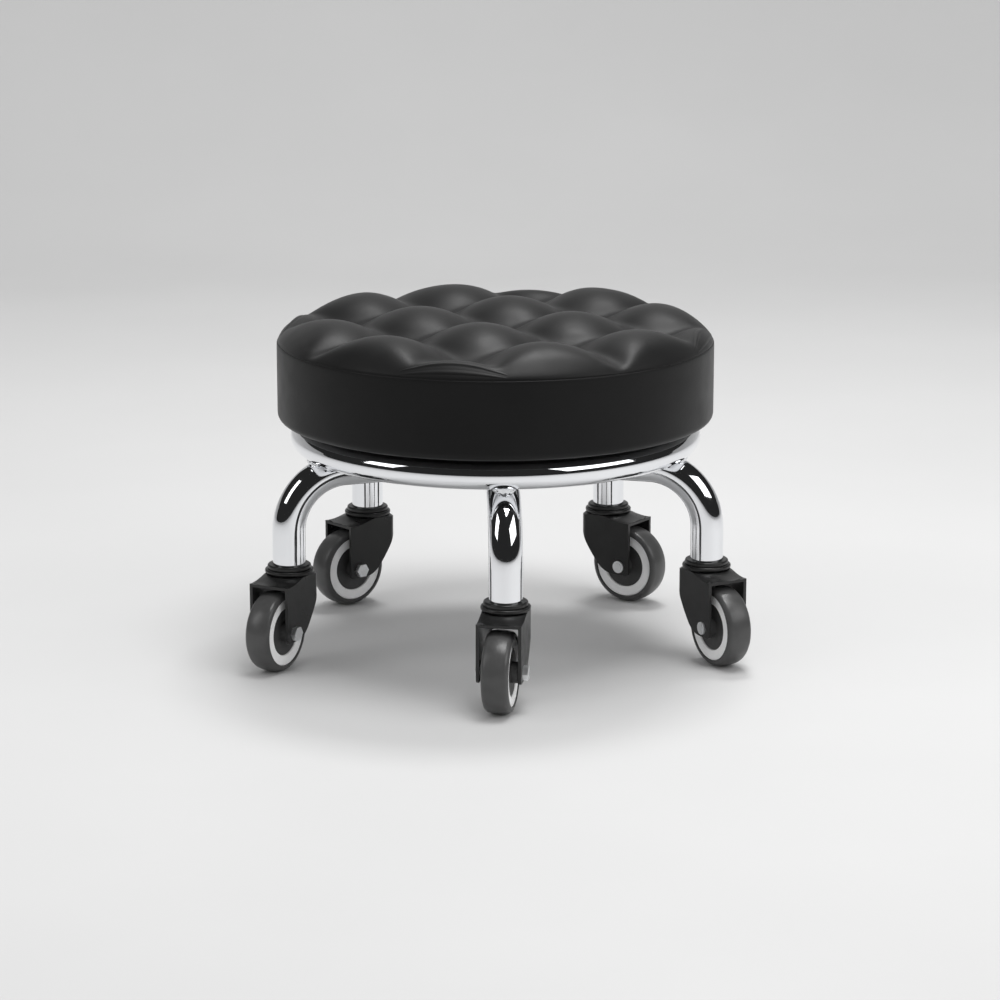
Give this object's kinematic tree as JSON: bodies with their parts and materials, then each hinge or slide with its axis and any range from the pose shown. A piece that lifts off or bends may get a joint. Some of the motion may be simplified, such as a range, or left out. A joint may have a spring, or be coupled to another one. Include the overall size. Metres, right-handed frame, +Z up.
{
  "type": "rolling stool",
  "caption": "Low round stool with a tufted black vinyl seat on a ball swivel, bent chrome tube legs tied by a ring, and swivel casters under the legs",
  "frame": {"origin": "on the floor, below the centre of the seat swivel", "axes": "+Z up along the seat swivel's axis, -Y towards the front leg, +X to the right of someone facing the stool's front"},
  "size_m": [0.3876, 0.3924, 0.2677],
  "materials": {
    "vinyl": "satin black vinyl upholstery",
    "foam": "open-cell upholstery foam",
    "plywood": "plain plywood",
    "dust_cloth": "black non-woven cloth",
    "chrome": "polished chrome plate",
    "zinc_steel": "zinc-plated steel",
    "black_steel": "semi-gloss black coated steel",
    "plug_plastic": "moulded black plastic",
    "tyre_rubber": "smooth dark grey tread",
    "core_plastic": "light grey moulded plastic",
    "hub_plastic": "dark grey moulded plastic"
  },
  "bodies": {
    "base": {"hub_plate": "black_steel", "hub_core": "chrome", "ring": "chrome", "ring_welds": "chrome", "swivel_lower_plate": "zinc_steel", "swivel_eyelet": "zinc_steel", "bearing_balls": "zinc_steel", "frame_bolts": "zinc_steel", "leg_inserts": "plug_plastic", "caster_stems": "zinc_steel", "caster_caps": "black_steel", "leg_1": "chrome", "leg_2": "chrome", "leg_3": "chrome", "leg_4": "chrome", "leg_5": "chrome"},
    "seat": {"seat_top_cover": "vinyl", "seat_side_band": "vinyl", "seat_foam": "foam", "seat_board": "plywood", "seat_dust_cover": "dust_cloth", "seat_tee_nuts": "zinc_steel", "seat_bolts": "zinc_steel", "swivel_upper_plate": "zinc_steel"},
    "fork_1": {"caster_fork_1": "black_steel", "axle_sleeve_1": "zinc_steel", "axle_fasteners_1": "zinc_steel"},
    "wheel_1": {"tyre_1": "tyre_rubber", "wheel_core_1": "core_plastic", "hub_covers_1": "hub_plastic"},
    "fork_2": {"caster_fork_2": "black_steel", "axle_sleeve_2": "zinc_steel", "axle_fasteners_2": "zinc_steel"},
    "wheel_2": {"tyre_2": "tyre_rubber", "wheel_core_2": "core_plastic", "hub_covers_2": "hub_plastic"},
    "fork_3": {"caster_fork_3": "black_steel", "axle_sleeve_3": "zinc_steel", "axle_fasteners_3": "zinc_steel"},
    "wheel_3": {"tyre_3": "tyre_rubber", "wheel_core_3": "core_plastic", "hub_covers_3": "hub_plastic"},
    "fork_4": {"caster_fork_4": "black_steel", "axle_sleeve_4": "zinc_steel", "axle_fasteners_4": "zinc_steel"},
    "wheel_4": {"tyre_4": "tyre_rubber", "wheel_core_4": "core_plastic", "hub_covers_4": "hub_plastic"},
    "fork_5": {"caster_fork_5": "black_steel", "axle_sleeve_5": "zinc_steel", "axle_fasteners_5": "zinc_steel"},
    "wheel_5": {"tyre_5": "tyre_rubber", "wheel_core_5": "core_plastic", "hub_covers_5": "hub_plastic"}
  },
  "joints": [
    {"name": "seat_swivel", "type": "hinge", "parent": "base", "child": "seat", "pos_m": [0, 0, 0.17655], "axis": [0, 0, 1], "continuous": true},
    {"name": "caster_swivel_1", "type": "hinge", "parent": "base", "child": "fork_1", "pos_m": [0, -0.17, 0.0727], "axis": [0, 0, 1], "continuous": true},
    {"name": "wheel_spin_1", "type": "hinge", "parent": "fork_1", "child": "wheel_1", "pos_m": [-0.00473, -0.19118, 0.03125], "axis": [0.9759, -0.2181, 0], "continuous": true},
    {"name": "caster_swivel_2", "type": "hinge", "parent": "base", "child": "fork_2", "pos_m": [0.16168, -0.05253, 0.0727], "axis": [0, 0, 1], "continuous": true},
    {"name": "wheel_spin_2", "type": "hinge", "parent": "fork_2", "child": "wheel_2", "pos_m": [0.17112, -0.07207, 0.03125], "axis": [0.9003, 0.4352, 0], "continuous": true},
    {"name": "caster_swivel_3", "type": "hinge", "parent": "base", "child": "fork_3", "pos_m": [0.09992, 0.13753, 0.0727], "axis": [0, 0, 1], "continuous": true},
    {"name": "wheel_spin_3", "type": "hinge", "parent": "fork_3", "child": "wheel_3", "pos_m": [0.11705, 0.1242, 0.03125], "axis": [0.6143, 0.7891, 0], "continuous": true},
    {"name": "caster_swivel_4", "type": "hinge", "parent": "base", "child": "fork_4", "pos_m": [-0.09992, 0.13753, 0.0727], "axis": [0, 0, 1], "continuous": true},
    {"name": "wheel_spin_4", "type": "hinge", "parent": "fork_4", "child": "wheel_4", "pos_m": [-0.11695, 0.12408, 0.03125], "axis": [0.6198, -0.7848, 0], "continuous": true},
    {"name": "caster_swivel_5", "type": "hinge", "parent": "base", "child": "fork_5", "pos_m": [-0.16168, -0.05253, 0.0727], "axis": [0, 0, 1], "continuous": true},
    {"name": "wheel_spin_5", "type": "hinge", "parent": "fork_5", "child": "wheel_5", "pos_m": [-0.1725, -0.07135, 0.03125], "axis": [0.8669, -0.4985, 0], "continuous": true}
  ]
}
